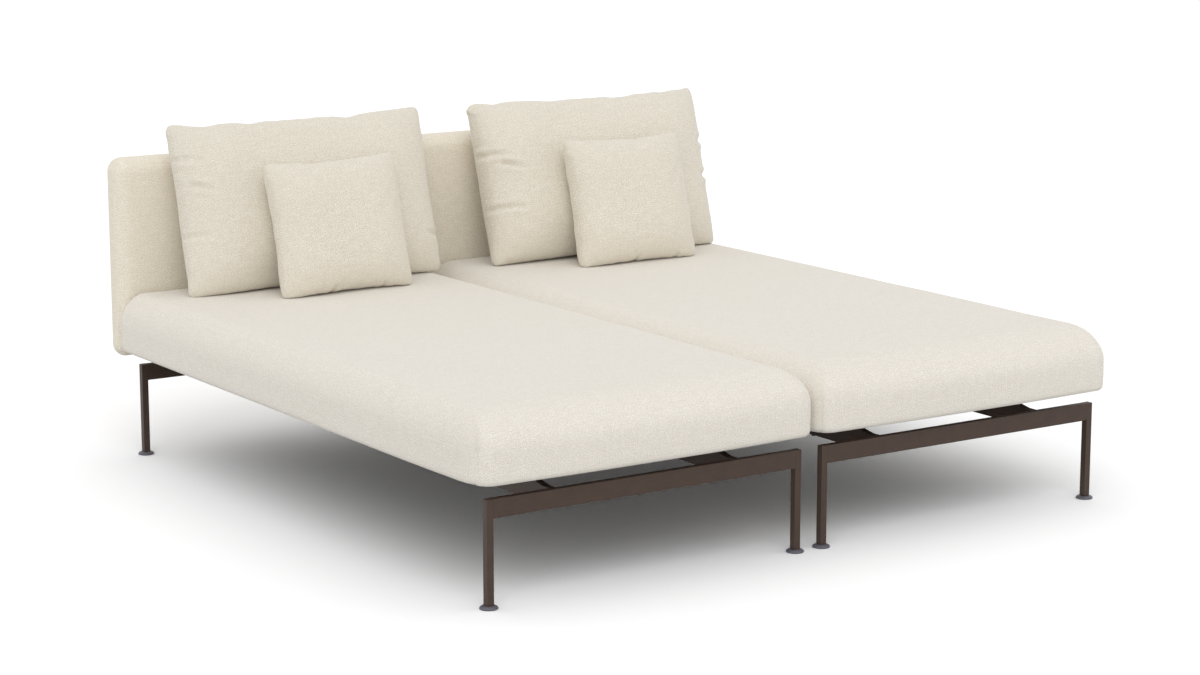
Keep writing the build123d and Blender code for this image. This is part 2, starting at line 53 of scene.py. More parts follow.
def linear(hexColour):
    parts = [int(hexColour[k:k + 2], 16) / 255 for k in (1, 3, 5)]
    return tuple(c / 12.92 if c <= 0.04045 else ((c + 0.055) / 1.055) ** 2.4 for c in parts) + (1.0,)


def addNode(tree, kind, inputs=None, **settings):
    # each input is a value, or another node's output to link to
    node = tree.nodes.new(kind)
    for name, value in settings.items():
        setattr(node, name, value)
    for name, value in (inputs or {}).items():
        if isinstance(value, bpy.types.NodeSocket):
            tree.links.new(value, node.inputs[name])
        else:
            node.inputs[name].default_value = value
    return node


def newMaterial(name):
    material = bpy.data.materials.new(name)
    material.use_nodes = True
    tree = material.node_tree
    tree.nodes.clear()
    output = addNode(tree, "ShaderNodeOutputMaterial")
    shader = addNode(tree, "ShaderNodeBsdfPrincipled")
    tree.links.new(shader.outputs[0], output.inputs[0])
    return material, tree, shader


def linkTo(obj):
    scene.collection.objects.link(obj)
    return obj


def meshObject(name, verts, faces, material, uvs=None):
    mesh = bpy.data.meshes.new(name)
    mesh.from_pydata(verts, [], faces)
    if uvs:
        layer = mesh.uv_layers.new(name="flatCut")
        for loop, uv in zip(layer.data, (spot for face in uvs for spot in face)):
            loop.uv = uv
    mesh.polygons.foreach_set("use_smooth", [True] * len(faces))
    mesh.materials.append(material)
    return linkTo(bpy.data.objects.new(name, mesh))


def smooth(share):
    # 0 to 1 with a soft start and a soft end
    share = min(1.0, max(0.0, share))
    return share * share * (3 - 2 * share)


# camera, solved from the straight and level edges of the photograph (metres, degrees, millimetres)
cameraPlace = {"place": (-3.6803, -5.5212, 1.6250), "azimuth": -33.80, "down": 11.01, "lens": 84.75,
               "sensor": 36, "clipEnd": 200}


def makeCamera():
    data = bpy.data.cameras.new("camera")
    data.lens = cameraPlace["lens"]
    data.sensor_width = cameraPlace["sensor"]
    data.clip_end = cameraPlace["clipEnd"]
    camera = linkTo(bpy.data.objects.new("camera", data))
    turn, down = math.radians(cameraPlace["azimuth"]), math.radians(cameraPlace["down"])
    look = Vector((-math.sin(turn) * math.cos(down), math.cos(turn) * math.cos(down), -math.sin(down)))
    camera.location = cameraPlace["place"]
    camera.rotation_mode = "QUATERNION"
    camera.rotation_quaternion = look.to_track_quat("-Z", "Y")
    scene.camera = camera


# an even dome and one broad lamp, which is slightly cool because the pale floor sends warm light back
studio = {"dome": 0.82, "sun": 0.86, "sunColour": (0.965, 0.975, 1.0), "sunAngle": 45, "sunTilt": 46,
          "sunTurn": -30, "floor": "#e0e0e0", "floorSeen": 1.12, "floorSize": 60}


def makeStudio():
    world = bpy.data.worlds.new("studio")
    world.use_nodes = True
    tree = world.node_tree
    tree.nodes.clear()
    rays = addNode(tree, "ShaderNodeLightPath").outputs
    seen = addNode(tree, "ShaderNodeMath", {0: rays["Is Camera Ray"], 1: rays["Is Glossy Ray"]},
                   operation="MAXIMUM").outputs[0]
    seen = addNode(tree, "ShaderNodeMath", {0: seen, 1: rays["Is Transmission Ray"]},
                   operation="MAXIMUM").outputs[0]
    strength = addNode(tree, "ShaderNodeMapRange", {0: seen, 3: studio["dome"], 4: 1.0}).outputs[0]
    background = addNode(tree, "ShaderNodeBackground", {0: (1, 1, 1, 1), 1: strength})
    output = addNode(tree, "ShaderNodeOutputWorld")
    tree.links.new(background.outputs[0], output.inputs[0])
    scene.world = world
    scene.view_settings.view_transform = "Standard"

    lamp = bpy.data.lights.new("softLamp", "SUN")
    lamp.energy = studio["sun"]
    lamp.color = studio["sunColour"]
    lamp.angle = math.radians(studio["sunAngle"])
    lampObject = linkTo(bpy.data.objects.new("softLamp", lamp))
    turn = Matrix.Rotation(math.radians(studio["sunTurn"]), 4, "Z")
    lampObject.matrix_world = turn @ Matrix.Rotation(math.radians(studio["sunTilt"]), 4, "X")

    # the floor is pure white to the camera and a little under white to the light
    material = bpy.data.materials.new("paleStudioFloor")
    material.use_nodes = True
    tree = material.node_tree
    tree.nodes.clear()
    rays = addNode(tree, "ShaderNodeLightPath").outputs
    seen = addNode(tree, "ShaderNodeMath", {0: rays["Is Camera Ray"], 1: rays["Is Glossy Ray"]},
                   operation="MAXIMUM").outputs[0]
    bright = (studio["floorSeen"],) * 3 + (1.0,)
    colour = addNode(tree, "ShaderNodeMix", {0: seen, 6: linear(studio["floor"]), 7: bright},
                     data_type="RGBA").outputs[2]
    diffuse = addNode(tree, "ShaderNodeBsdfDiffuse", {0: colour})
    output = addNode(tree, "ShaderNodeOutputMaterial")
    tree.links.new(diffuse.outputs[0], output.inputs[0])
    half = studio["floorSize"]
    corners = [(-half, -half, 0), (half, -half, 0), (half, half, 0), (-half, half, 0)]
    meshObject("studioFloor", corners, [(0, 1, 2, 3)], material)


makeCamera()
makeStudio()
print("camera, lamp and floor made")


# Cream outdoor cloth of spun-dyed olefin yarn, plain weave with slubs: dry and matt, with a soft nap that
# lightens at grazing angles, a grid of threads and threads of several tones. The real threads are about
# 0.9 mm apart and are drawn 4.4 mm apart, so that they show from the camera's distance.
# The first five are sizes in metres. Each layer of colour holds two values of its pattern and the share that
# its tone has at each. The layer that follows the weave's relief paints shade into the hollows between the
# threads.
weave = {"thread": 0.0044, "slub": 0.015, "grain": 0.0029, "drift": 0.012, "cloud": 0.12,
         "wobble": 0.24, "crossing": 0.25, "slubScale": 0.55,
         "tones": (0.36, 0.64, 0.0, 1.0), "flecks": (0.40, 0.61, 0.66, 0.0), "hollowShade": (0.15, 0.75, 0.35, 0.0),
         "clouds": (0.35, 0.65, 0.0, 0.10),
         "threadRelief": 0.0006, "threadStrength": 0.55, "grainRelief": 0.0004, "grainStrength": 0.6,
         "roughness": 0.93, "specular": 0.2, "sheen": 0.50, "sheenRoughness": 0.45, "sheenTint": "#fffdf9"}


def wovenCloth(name, light, middle, dark):
    material, tree, shader = newMaterial(name)
    thread, slub = weave["thread"], weave["slub"]
    uv = addNode(tree, "ShaderNodeUVMap", uv_map="flatCut").outputs[0]
    # the threads wander a little
    drift = addNode(tree, "ShaderNodeTexNoise",
                    {"Vector": uv, "Scale": 1 / weave["drift"], "Detail": 2.0}).outputs[1]
    place = addNode(tree, "ShaderNodeVectorMath", {0: drift, 1: (weave["wobble"] * thread,) * 3, 2: uv},
                    operation="MULTIPLY_ADD").outputs[0]
    count = addNode(tree, "ShaderNodeVectorMath", {0: place, "Scale": math.pi / thread},
                    operation="SCALE").outputs[0]
    split = addNode(tree, "ShaderNodeSeparateXYZ", {0: count}).outputs
    # plain weave: warp and weft take turns to lie on top, each rounded like a thread
    warp, weft = (addNode(tree, "ShaderNodeMath", {0: split[k]}, operation="SINE").outputs[0] for k in (0, 1))
    crossing = addNode(tree, "ShaderNodeMath", {0: warp, 1: weft}, operation="MULTIPLY").outputs[0]
    over = addNode(tree, "ShaderNodeMapRange", {0: crossing, 1: -weave["crossing"], 2: weave["crossing"]},
                   interpolation_type="SMOOTHSTEP").outputs[0]
    warpUp, weftUp = (addNode(tree, "ShaderNodeMath", {0: wave}, operation="ABSOLUTE").outputs[0]
                      for wave in (warp, weft))
    relief = addNode(tree, "ShaderNodeMix", {0: over, 2: warpUp, 3: weftUp}, data_type="FLOAT").outputs[0]
    # slubs: long soft streaks along each direction of thread
    streaks = []
    for scale in ((1 / thread, 1 / slub, 1.0), (1 / slub, 1 / thread, 1.0)):
        stretched = addNode(tree, "ShaderNodeMapping", {0: place, 3: scale}).outputs[0]
        streaks.append(addNode(tree, "ShaderNodeTexNoise", {"Vector": stretched, "Scale": weave["slubScale"],
                                                            "Detail": 2.0, "Roughness": 0.6}).outputs[0])
    tone = addNode(tree, "ShaderNodeMix", {0: over, 2: streaks[0], 3: streaks[1]},
                   data_type="FLOAT").outputs[0]
    grain = addNode(tree, "ShaderNodeTexNoise", {"Vector": uv, "Scale": 1 / weave["grain"], "Detail": 2.5,
                                                 "Roughness": 0.65}).outputs[0]
    cloud = addNode(tree, "ShaderNodeTexNoise",
                    {"Vector": uv, "Scale": 1 / weave["cloud"], "Detail": 3.0}).outputs[0]
    colour = linear(middle)
    # the layer over relief is painted shade: darker where the threads dip between crossings
    for layer, pattern, shade in (("tones", tone, light), ("flecks", grain, dark), ("hollowShade", relief, dark),
                                  ("clouds", cloud, middle)):
        low, high, atLow, atHigh = weave[layer]
        share = addNode(tree, "ShaderNodeMapRange",
                        {0: pattern, 1: low, 2: high, 3: atLow, 4: atHigh}).outputs[0]
        colour = addNode(tree, "ShaderNodeMix", {0: share, 6: colour, 7: linear(shade)},
                         data_type="RGBA").outputs[2]
    tree.links.new(colour, shader.inputs["Base Color"])
    fine = addNode(tree, "ShaderNodeBump", {"Strength": weave["threadStrength"],
                                            "Distance": weave["threadRelief"], "Height": relief})
    coarse = addNode(tree, "ShaderNodeBump", {"Strength": weave["grainStrength"],
                                              "Distance": weave["grainRelief"], "Height": grain,
                                              "Normal": fine.outputs[0]})
    tree.links.new(coarse.outputs[0], shader.inputs["Normal"])
    shader.inputs["Roughness"].default_value = weave["roughness"]
    shader.inputs["Specular IOR Level"].default_value = weave["specular"]
    shader.inputs["Sheen Weight"].default_value = weave["sheen"]
    shader.inputs["Sheen Roughness"].default_value = weave["sheenRoughness"]
    shader.inputs["Sheen Tint"].default_value = linear(weave["sheenTint"])
    return material


# one cream cloth in three copies: the backrest's and the pillows' copies are painted a shade yellower than
# the seats', the pillows' a little darker too, as painted warm shade for the light that bounces in the
# hollows between backrest, pillows and seat
seatCloth = wovenCloth("creamOlefinSeatCloth", "#f9f5ee", "#ede8df", "#cfc6b5")
backClothWarmShade = wovenCloth("creamOlefinBackPaintedShade", "#fcf7ec", "#efe8d9", "#d2c6ae")
pillowClothWarmShade = wovenCloth("creamOlefinPillowPaintedShade", "#f6f1e7", "#e8e2d4", "#c8beaa")

# plain finishes: clouds of a second tone, 25 grains across, and the grain itself as relief
plain = {"cloud": 25, "low": 0.3, "high": 0.7, "roughnessSpread": 0.06, "reliefStrength": 0.5}


def plainFinish(name, colour, second, grain, share, roughness, relief, metallic=0.0, specular=0.5,
                stretch=(1, 1, 1)):
    material, tree, shader = newMaterial(name)
    spot = addNode(tree, "ShaderNodeTexCoord").outputs["Object"]
    spot = addNode(tree, "ShaderNodeMapping", {0: spot, 3: stretch}).outputs[0]
    fine = addNode(tree, "ShaderNodeTexNoise", {"Vector": spot, "Scale": 1 / grain, "Detail": 3.0}).outputs[0]
    wide = addNode(tree, "ShaderNodeTexNoise", {"Vector": spot, "Scale": 1 / (plain["cloud"] * grain),
                                                "Detail": 2.0}).outputs[0]
    part = addNode(tree, "ShaderNodeMapRange",
                   {0: wide, 1: plain["low"], 2: plain["high"], 3: 0.0, 4: share}).outputs[0]
    mixed = addNode(tree, "ShaderNodeMix", {0: part, 6: linear(colour), 7: linear(second)}, data_type="RGBA")
    tree.links.new(mixed.outputs[2], shader.inputs["Base Color"])
    spread = plain["roughnessSpread"]
    rough = addNode(tree, "ShaderNodeMapRange", {0: fine, 3: roughness - spread, 4: roughness + spread})
    tree.links.new(rough.outputs[0], shader.inputs["Roughness"])
    bump = addNode(tree, "ShaderNodeBump", {"Strength": plain["reliefStrength"], "Distance": relief,
                                            "Height": fine})
    tree.links.new(bump.outputs[0], shader.inputs["Normal"])
    shader.inputs["Metallic"].default_value = metallic
    shader.inputs["Specular IOR Level"].default_value = specular
    return material


# satin powder coat with a fine orange peel: softly glossy, catches a light line along each edge
powderCoat = plainFinish("bronzePowderCoat", "#4a3b32", "#40332c", grain=0.0011, share=0.5, roughness=0.45,
                         relief=0.00008, specular=0.25)
# injection-moulded polyamide glide: matt, slightly bluish grey, spark-eroded texture
footPlastic = plainFinish("mouldedPolyamide", "#64616a", "#56545c", grain=0.0009, share=0.6, roughness=0.52,
                          relief=0.00008)
# zinc-plated steel: silvery with a cloudy passivation film
zincSteel = plainFinish("zincPlatedSteel", "#c4c6c8", "#a9acb2", grain=0.002, share=0.8, roughness=0.34,
                        relief=0.00002, metallic=1.0)
# birch plywood, sealed: pale wood with grain drawn out along the length
birchPly = plainFinish("sealedBirchPlywood", "#d8b98a", "#b98f5c", grain=0.003, share=0.9, roughness=0.6,
                       relief=0.0001, stretch=(1, 0.06, 1))
# black zinc: the same plating passivated black, dull, on the bolts and screws that sit in the dark frame
blackZinc = plainFinish("blackZincPlatedSteel", "#2a2826", "#1e1d1c", grain=0.002, share=0.7, roughness=0.45,
                        relief=0.00002, metallic=0.6)
# open-cell foam: yellowish and dull. It is only inside the covers, as is the fibre
rawFoam = plainFinish("openCellFoam", "#e6dfbe", "#d8cfa6", grain=0.002, share=0.6, roughness=0.9,
                      relief=0.0004)
# loose siliconised polyester fibre: white and fluffy
looseFibre = plainFinish("looseFibre", "#f2f2ef", "#dcdcd6", grain=0.004, share=0.6, roughness=0.95,
                         relief=0.0004)
# bonded polyester thread of the seams, the cloth's own colour
seamThread = plainFinish("bondedPolyesterThread", "#ece7dc", "#ddd6c6", grain=0.0008, share=0.5,
                         roughness=0.6, relief=0.00005)

spunbond = {"pointGap": 0.003, "unevenGap": 0.15, "point": (0.15, 0.35), "strand": 0.0015,
            "relief": 0.0002, "reliefStrength": 0.6, "roughness": 0.85}


def spunbondCloth():
    # spunbonded polypropylene: thin dark felt, with a grid of small pressed bond points 3 mm apart
    material, tree, shader = newMaterial("darkSpunbond")
    spot = addNode(tree, "ShaderNodeTexCoord").outputs["Object"]
    cells = addNode(tree, "ShaderNodeTexVoronoi", {"Vector": spot, "Scale": 1 / spunbond["pointGap"],
                                                   "Randomness": spunbond["unevenGap"]})
    pressed, free = spunbond["point"]
    point = addNode(tree, "ShaderNodeMapRange",
                    {0: cells.outputs["Distance"], 1: pressed, 2: free}).outputs[0]
    strands = addNode(tree, "ShaderNodeTexNoise",
                      {"Vector": spot, "Scale": 1 / spunbond["strand"], "Detail": 4.0}).outputs[0]
    felt = addNode(tree, "ShaderNodeMix", {0: strands, 6: linear("#23211f"), 7: linear("#3a3734")},
                   data_type="RGBA").outputs[2]
    colour = addNode(tree, "ShaderNodeMix", {0: point, 6: linear("#1b1a19"), 7: felt},
                     data_type="RGBA").outputs[2]
    tree.links.new(colour, shader.inputs["Base Color"])
    bump = addNode(tree, "ShaderNodeBump", {"Strength": spunbond["reliefStrength"],
                                            "Distance": spunbond["relief"], "Height": point})
    tree.links.new(bump.outputs[0], shader.inputs["Normal"])
    shader.inputs["Roughness"].default_value = spunbond["roughness"]
    return material


# a Wave Texture of scale 1 has 20 / (2 pi) bands to the metre
studThread = {"pitch": 0.00125, "bands": 20, "relief": 0.0005, "roughness": 0.35}


def threadedStud():
    # zinc-plated M8 stud: the thread is a fine relief, 1.25 mm from crest to crest, with painted shade in its
    # roots and a painted highlight on its crests
    material, tree, shader = newMaterial("zincThreadPaintedShade")
    spot = addNode(tree, "ShaderNodeTexCoord").outputs["Object"]
    scale = 2 * math.pi / studThread["bands"] / studThread["pitch"]
    bands = addNode(tree, "ShaderNodeTexWave", {"Vector": spot, "Scale": scale, "Distortion": 0.0},
                    bands_direction="Z").outputs[1]
    # the colour follows the thread's relief: painted shade in the roots, painted highlight on the crests
    colour = addNode(tree, "ShaderNodeMix", {0: bands, 6: linear("#8d9094"), 7: linear("#c8cacc")},
                     data_type="RGBA").outputs[2]
    tree.links.new(colour, shader.inputs["Base Color"])
    bump = addNode(tree, "ShaderNodeBump", {"Strength": 1.0, "Distance": studThread["relief"],
                                            "Height": bands})
    tree.links.new(bump.outputs[0], shader.inputs["Normal"])
    shader.inputs["Roughness"].default_value = studThread["roughness"]
    shader.inputs["Metallic"].default_value = 1.0
    return material


dustCloth = spunbondCloth()
studSteel = threadedStud()
finishes = {"powder_coat": powderCoat, "foot_plastic": footPlastic, "zinc_steel": zincSteel,
            "black_zinc": blackZinc, "plywood": birchPly, "foam": rawFoam, "filling": looseFibre,
            "seat_cloth": seatCloth, "back_cloth": backClothWarmShade, "pillow_cloth": pillowClothWarmShade,
            "dust_cloth": dustCloth}
slotOf = {part["node"]: part["material_slot"] for part in frame["record"]["subparts"]}
for name, obj in nodes.items():
    finish = studSteel if name.endswith("_stud") else finishes[slotOf[name]]
    if not obj.data.materials:
        obj.data.materials.append(finish)
    for slot in obj.material_slots:
        slot.material = finish
print("materials made")


# Padded blocks: the two seat blocks and the backrest are each one grid over a rounded box, u across, v along
# and w up. The top rounds down by the drop over each side's own run, and the sides swell out.
sideSwell = {"foot": 0.85, "rise": 0.15, "riseBy": 0.4, "fall": 0.35, "fallFrom": 0.6}    # shares
drawnSeam = {"from": 0.25, "over": 0.5, "width": 0.0022, "puff": 0.3, "puffAway": 0.006, "puffWidth": 0.004}
filledByHand = {"scale": 3.1, "finer": 2.7, "finerShare": 0.5, "sideShare": 0.4, "fadeIn": 3}    # slow lumps
turnLines = 9      # grid lines over each rounded edge
seamLines = 6      # how many of them a corner seam runs back over the top
cutGap = 3         # metres from one cut of the cloth to the next in the UV map: top, underside, side


def edgeLines(start, end, startRun, endRun, cell):
    # grid lines that crowd towards both ends, where the form turns over
    turns = [1 - math.cos(math.pi / 2 * k / turnLines) for k in range(turnLines + 1)]
    head = [start + startRun * turn for turn in turns]
    count = max(2, round((end - endRun - start - startRun) / cell))
    middle = [start + startRun + (end - endRun - start - startRun) * k / count for k in range(1, count)]
    tail = [end - endRun * turn for turn in turns]
    return head + middle + tail[::-1]


def roundDown(near):
    # a quarter circle: 0 where a rounded edge starts, 1 at its end
    return 1 - math.sqrt(max(0.0, 1 - near * near))


def arcLengths(lines, start, end, startRun, endRun, drop):
    # how far along the cloth each grid line lies, over the rounded edges too
    def fall(x):
        near = max(0.0, 1 - (x - start) / startRun, 1 - (end - x) / endRun)
        return drop * roundDown(near)
    lengths = [0.0]
    for before, after in zip(lines, lines[1:]):
        lengths.append(lengths[-1] + math.hypot(after - before, fall(after) - fall(before)))
    return lengths


def roundCorner(a, b, share):
    # a and b are 0 to 1 towards two sides. Gives the pull onto a square with rounded corners, and its normal
    m = max(a, b)
    t, c = min(a, b) / m, 1 - share
    if t <= c:
        pull, normal = 1.0, (1.0, 0.0)
    else:
        root = (c * (1 + t)) ** 2 - (1 + t * t) * (2 * c * c - share * share)
        pull = (c * (1 + t) + math.sqrt(max(0.0, root))) / (1 + t * t)
        normal = (pull - c, pull * t - c)
    return pull, normal if a >= b else normal[::-1]


def paddedBlock(name, form, place, material):
    (u0, u1), (v0, v1), (w0, w1) = form["u"], form["v"], form["w"]
    runU0, runU1, runV0, runV1 = form["runs"]
    swellU0, swellU1, swellV0, swellV1 = form["swell"]
    topDrop, bottomDrop, crown = form["topDrop"], form["bottomDrop"], form["crown"]
    uLines = edgeLines(u0, u1, runU0, runU1, form["cell"])
    vLines = edgeLines(v0, v1, runV0, runV1, form["cell"])
    nu, nv = len(uLines) - 1, len(vLines) - 1
    edgeTop = w1 - crown

    def planSpot(i, j):
        # a grid point in plan, how near it is to the sides (0 to 1) and which way is out
        u, v = uLines[i], vLines[j]
        runU, sideU = (runU0, -1) if u < (u0 + u1) / 2 else (runU1, 1)
        runV, sideV = (runV0, -1) if v < (v0 + v1) / 2 else (runV1, 1)
        edgeU, edgeV = (u0 if sideU < 0 else u1), (v0 if sideV < 0 else v1)
        a = max(0.0, 1 - abs(u - edgeU) / runU)
        b = max(0.0, 1 - abs(v - edgeV) / runV)
        m = max(a, b)
        normal = Vector((0, 0))
        if m > 0:
            crest, side = form["cornerShares"][sideU, sideV]
            pull, (p, q) = roundCorner(a, b, crest + (side - crest) * m ** 3)
            if a > 0:
                u = edgeU - sideU * runU * (1 - a * pull)
            if b > 0:
                v = edgeV - sideV * runV * (1 - b * pull)
            normal = Vector((sideU * p / runU, sideV * q / runV)).normalized()
        return u, v, a, b, m, sideU, sideV, normal

    def outward(spot, w):
        # the swell of the sides: fullest at mid-height, slacker towards the front corners
        u, v, a, b, m, sideU, sideV, normal = spot
        high = min(1.0, max(0.0, (w - w0) / (edgeTop - w0)))
        rise = math.sin(math.pi / 2 * min(1.0, high / sideSwell["riseBy"]))
        fall = smooth((high - sideSwell["fallFrom"]) / (1 - sideSwell["fallFrom"]))
        up = sideSwell["foot"] + sideSwell["rise"] * rise - sideSwell["fall"] * fall
        slackInner, slackOuter = form["slack"]
        slackV = smooth(1 - (v - v0) / form["slackRun"])
        slackU = max(smooth(1 - (u - u0) / form["slackRun"]), smooth(1 - (u1 - u) / form["slackRun"]))
        alongV = 1 - (slackInner if sideU < 0 else slackOuter) * slackV
        amount = Vector(((swellU0 if sideU < 0 else swellU1) * alongV * normal.x,
                         (swellV0 if sideV < 0 else swellV1) * (1 - slackOuter * slackU) * normal.y))
        return normal * (amount.length * up * m * m)

    def seamDepth(spot):
        # the stitched corner seams draw the cloth in, and it puffs up a little beside them
        u, v, a, b, m, sideU, sideV, normal = spot
        if a == 0 or b == 0 or (sideU, sideV) not in form["seams"]:
            return 0.0
        away = abs(a - b) / m * (runU0 + runV0) / 4
        groove = math.exp(-(away / drawnSeam["width"]) ** 2)
        puff = drawnSeam["puff"] * math.exp(-((away - drawnSeam["puffAway"]) / drawnSeam["puffWidth"]) ** 2)
        return smooth((m - drawnSeam["from"]) / drawnSeam["over"]) * form["seamDepth"] * (groove - puff)

    def soft(u, v, w):
        # slow unevenness of hand-filled upholstery
        scale = filledByHand["scale"]
        spot = Vector((u * scale, v * scale, w * scale + form["seed"]))
        finer = noise.noise(spot * filledByHand["finer"])
        return form["uneven"] * (noise.noise(spot) + filledByHand["finerShare"] * finer)

    verts, top, bottom = [], {}, {}

    def addVert(spot, w, depth):
        u, v, a, b, m, sideU, sideV, normal = spot
        push = outward(spot, w)
        verts.append((u + push.x - normal.x * depth, v + push.y - normal.y * depth, w))
        return len(verts) - 1

    for i in range(nu + 1):
        for j in range(nv + 1):
            spot = planSpot(i, j)
            u, v, a, b, m, sideU, sideV, normal = spot
            inner = min(side / form["crownRun"] for side in (u - u0, u1 - u, v - v0, v1 - v))
            w = edgeTop - topDrop * roundDown(m) + crown * smooth(inner)
            w += soft(u, v, w) * (1 - m) * smooth(inner * filledByHand["fadeIn"])
            depth = seamDepth(spot)
            top[i, j] = addVert(spot, w - depth * (1 - m), depth * m)
    border = ([(i, 0) for i in range(nu)] + [(nu, j) for j in range(nv)]
              + [(i, nv) for i in range(nu, 0, -1)] + [(0, j) for j in range(nv, 0, -1)])
    rings = [[top[key] for key in border]]
    sideTop, sideBottom = edgeTop - topDrop, w0 + bottomDrop
    rows = max(1, round((sideTop - sideBottom) / form["cell"]))
    for k in range(1, rows):
        w = sideTop + (sideBottom - sideTop) * k / rows
        ring = []
        for key in border:
            spot = planSpot(*key)
            bump = soft(spot[0], spot[1], w) * filledByHand["sideShare"]
            ring.append(addVert(spot, w, seamDepth(spot) - bump))
        rings.append(ring)
    # the underside: rounded in at its edge, flat, and a little deeper where the dust cloth lies
    for i in range(nu + 1):
        for j in range(nv + 1):
            spot = planSpot(i, j)
            u, v, a, b, m, sideU, sideV, normal = spot
            run = (runU0 if sideU < 0 else runU1) if a >= b else (runV0 if sideV < 0 else runV1)
            w = w0 + bottomDrop * roundDown(max(0.0, 1 - run * (1 - m) / form["bottomRun"]))
            if min(u - u0, u1 - u, v - v0, v1 - v) > form["margin"]:
                w += form["recess"]
            bottom[i, j] = addVert(spot, w, seamDepth(spot) * m)
    rings.append([bottom[key] for key in border])

    alongU = arcLengths(uLines, u0, u1, runU0, runU1, topDrop)
    alongV = arcLengths(vLines, v0, v1, runV0, runV1, topDrop)
    faces, uvs = [], []
    for i in range(nu):
        for j in range(nv):
            corners = [(i, j), (i + 1, j), (i + 1, j + 1), (i, j + 1)]
            faces.append([top[key] for key in corners])
            uvs.append([(alongU[p], alongV[q]) for p, q in corners])
            faces.append([bottom[key] for key in corners[::-1]])
            uvs.append([(alongU[p] + cutGap, alongV[q]) for p, q in corners[::-1]])
    count = len(border)
    around = [0.0]
    for k in range(count):
        around.append(around[-1] + math.dist(verts[rings[0][k]], verts[rings[0][(k + 1) % count]]))
    drops = [0.0]
    for upper, lower in zip(rings, rings[1:]):
        drops.append(drops[-1] + math.dist(verts[upper[nu // 2]], verts[lower[nu // 2]]))
    for k, (upper, lower) in enumerate(zip(rings, rings[1:])):
        high, low = 2 * cutGap - drops[k], 2 * cutGap - drops[k + 1]
        for r in range(count):
            s = (r + 1) % count
            faces.append([lower[r], lower[s], upper[s], upper[r]])
            uvs.append([(around[r], low), (around[r + 1], low), (around[r + 1], high), (around[r], high)])
    # the line of each stitched corner seam, from the top down to the underside
    seams = []
    for sideU, sideV in form["seams"]:
        i, j = (nu if sideU > 0 else 0), (nv if sideV > 0 else 0)
        line = [top[i - sideU * k, j - sideV * k] for k in range(seamLines, 0, -1)]
        line += [ring[border.index((i, j))] for ring in rings]
        seams.append([place(*verts[k]) for k in line])
    return meshObject(name, [place(*v) for v in verts], faces, material, uvs), seams


# Seat block, u from the other chaise outwards and v from the foot end to the backrest. cornerShares gives how
# round each corner is in plan, at the top's crest and down the side. slack is the share of the swell that is
# gone at the front corners, inner and outer. margin in from the edges, the underside lies recess deeper.
seatBlock = {"cell": 0.012, "topDrop": 0.076, "bottomDrop": 0.012, "bottomRun": 0.012, "crown": 0.0005,
             "cornerShares": {(-1, -1): (0.33, 0.51), (1, -1): (0.86, 0.77),
                              (-1, 1): (0.36, 0.36), (1, 1): (0.36, 0.36)},
             "seamDepth": 0.0012, "seams": ((1, -1), (-1, -1), (1, 1)), "crownRun": 0.150,
             "innerRun": 0.071, "outerRun": 0.049, "frontRun": 0.100, "backRun": 0.020,
             "innerSwell": 0.0085, "outerSwell": 0.0095, "frontSwell": 0.014,
             "slack": (0.21, 0.70), "slackRun": 0.30, "uneven": 0.0016, "margin": 0.040, "recess": 0.0012,
             "seeds": {"left": 8.0, "right": 3.0}, "fill": 0.9}


def makeSeat(side, mirror):
    low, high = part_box(side + "_seat_cover")
    innerSwell, outerSwell, frontSwell = (seatBlock[k + "Swell"] for k in ("inner", "outer", "front"))
    # u runs from the other chaise outwards, so both blocks are the same form
    inner, outer = (low.x, high.x) if mirror > 0 else (-high.x, -low.x)
    form = {**seatBlock, "u": (inner + innerSwell, outer - outerSwell), "v": (low.y + frontSwell, high.y),
            "w": (low.z, high.z), "swell": (innerSwell, outerSwell, frontSwell, 0),
            "runs": [seatBlock[k + "Run"] for k in ("inner", "outer", "front", "back")],
            "seed": seatBlock["seeds"][side]}
    block, seams = paddedBlock(side + "SeatBlock", form, lambda u, v, w: (mirror * u, v, w), seatCloth)
    if mirror < 0:
        block.data.flip_normals()
    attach(block, "lounger")
    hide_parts(side + "_seat_cover", side + "_seat_foam")
    return seams


seams = makeSeat("left", -1) + makeSeat("right", 1)
print("seat blocks made")

# the backrest stands upright: u across, v up and w forwards, with the same round edge all the way round
backrest = {"cell": 0.012, "topDrop": 0.0365, "bottomDrop": 0.0365, "bottomRun": 0.0365,
            "runs": (0.0365, 0.0365, 0.0365, 0.0365), "crown": 0.001, "crownRun": 0.05, "uneven": 0.0012,
            "cornerShares": {(-1, -1): (0.8, 0.8), (1, -1): (0.8, 0.8),
                             (-1, 1): (0.95, 0.95), (1, 1): (0.95, 0.95)},
            "seamDepth": 0.0007, "seams": ((-1, 1), (1, 1), (-1, -1), (1, -1)), "swell": (0, 0, 0, 0),
            "slack": (0, 0), "slackRun": 0.3, "margin": 0.1, "recess": 0.0, "seed": 5.0, "fill": 0.85}


def makeBackrest():
    low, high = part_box("back_cover")
    form = {**backrest, "u": (low.x, high.x), "v": (low.z, high.z), "w": (-high.y, -low.y)}
    block = paddedBlock("backrest", form, lambda u, v, w: (u, -w, v), backClothWarmShade)[0]
    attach(block, "lounger")
    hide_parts("back_cover", "back_foam")


makeBackrest()
print("backrest made")

# Dust cloths: one dark sheet stapled under each seat block, with a little sag between its staples
dustSheet = {"inset": 0.0605, "cells": 46, "thickness": 0.0005, "pucker": 0.00015, "puckerReach": 0.03,
             "lift": 0.0004}
staples = {"gap": 0.055, "crown": 0.0100, "wire": 0.0012, "height": 0.0006, "inset": 0.008}
# two rows of top stitching beside each corner seam
stitches = {"gap": 0.0065, "length": 0.0045, "thread": 0.0007}
stitchRows = {"away": 0.0034, "out": 0.0009}


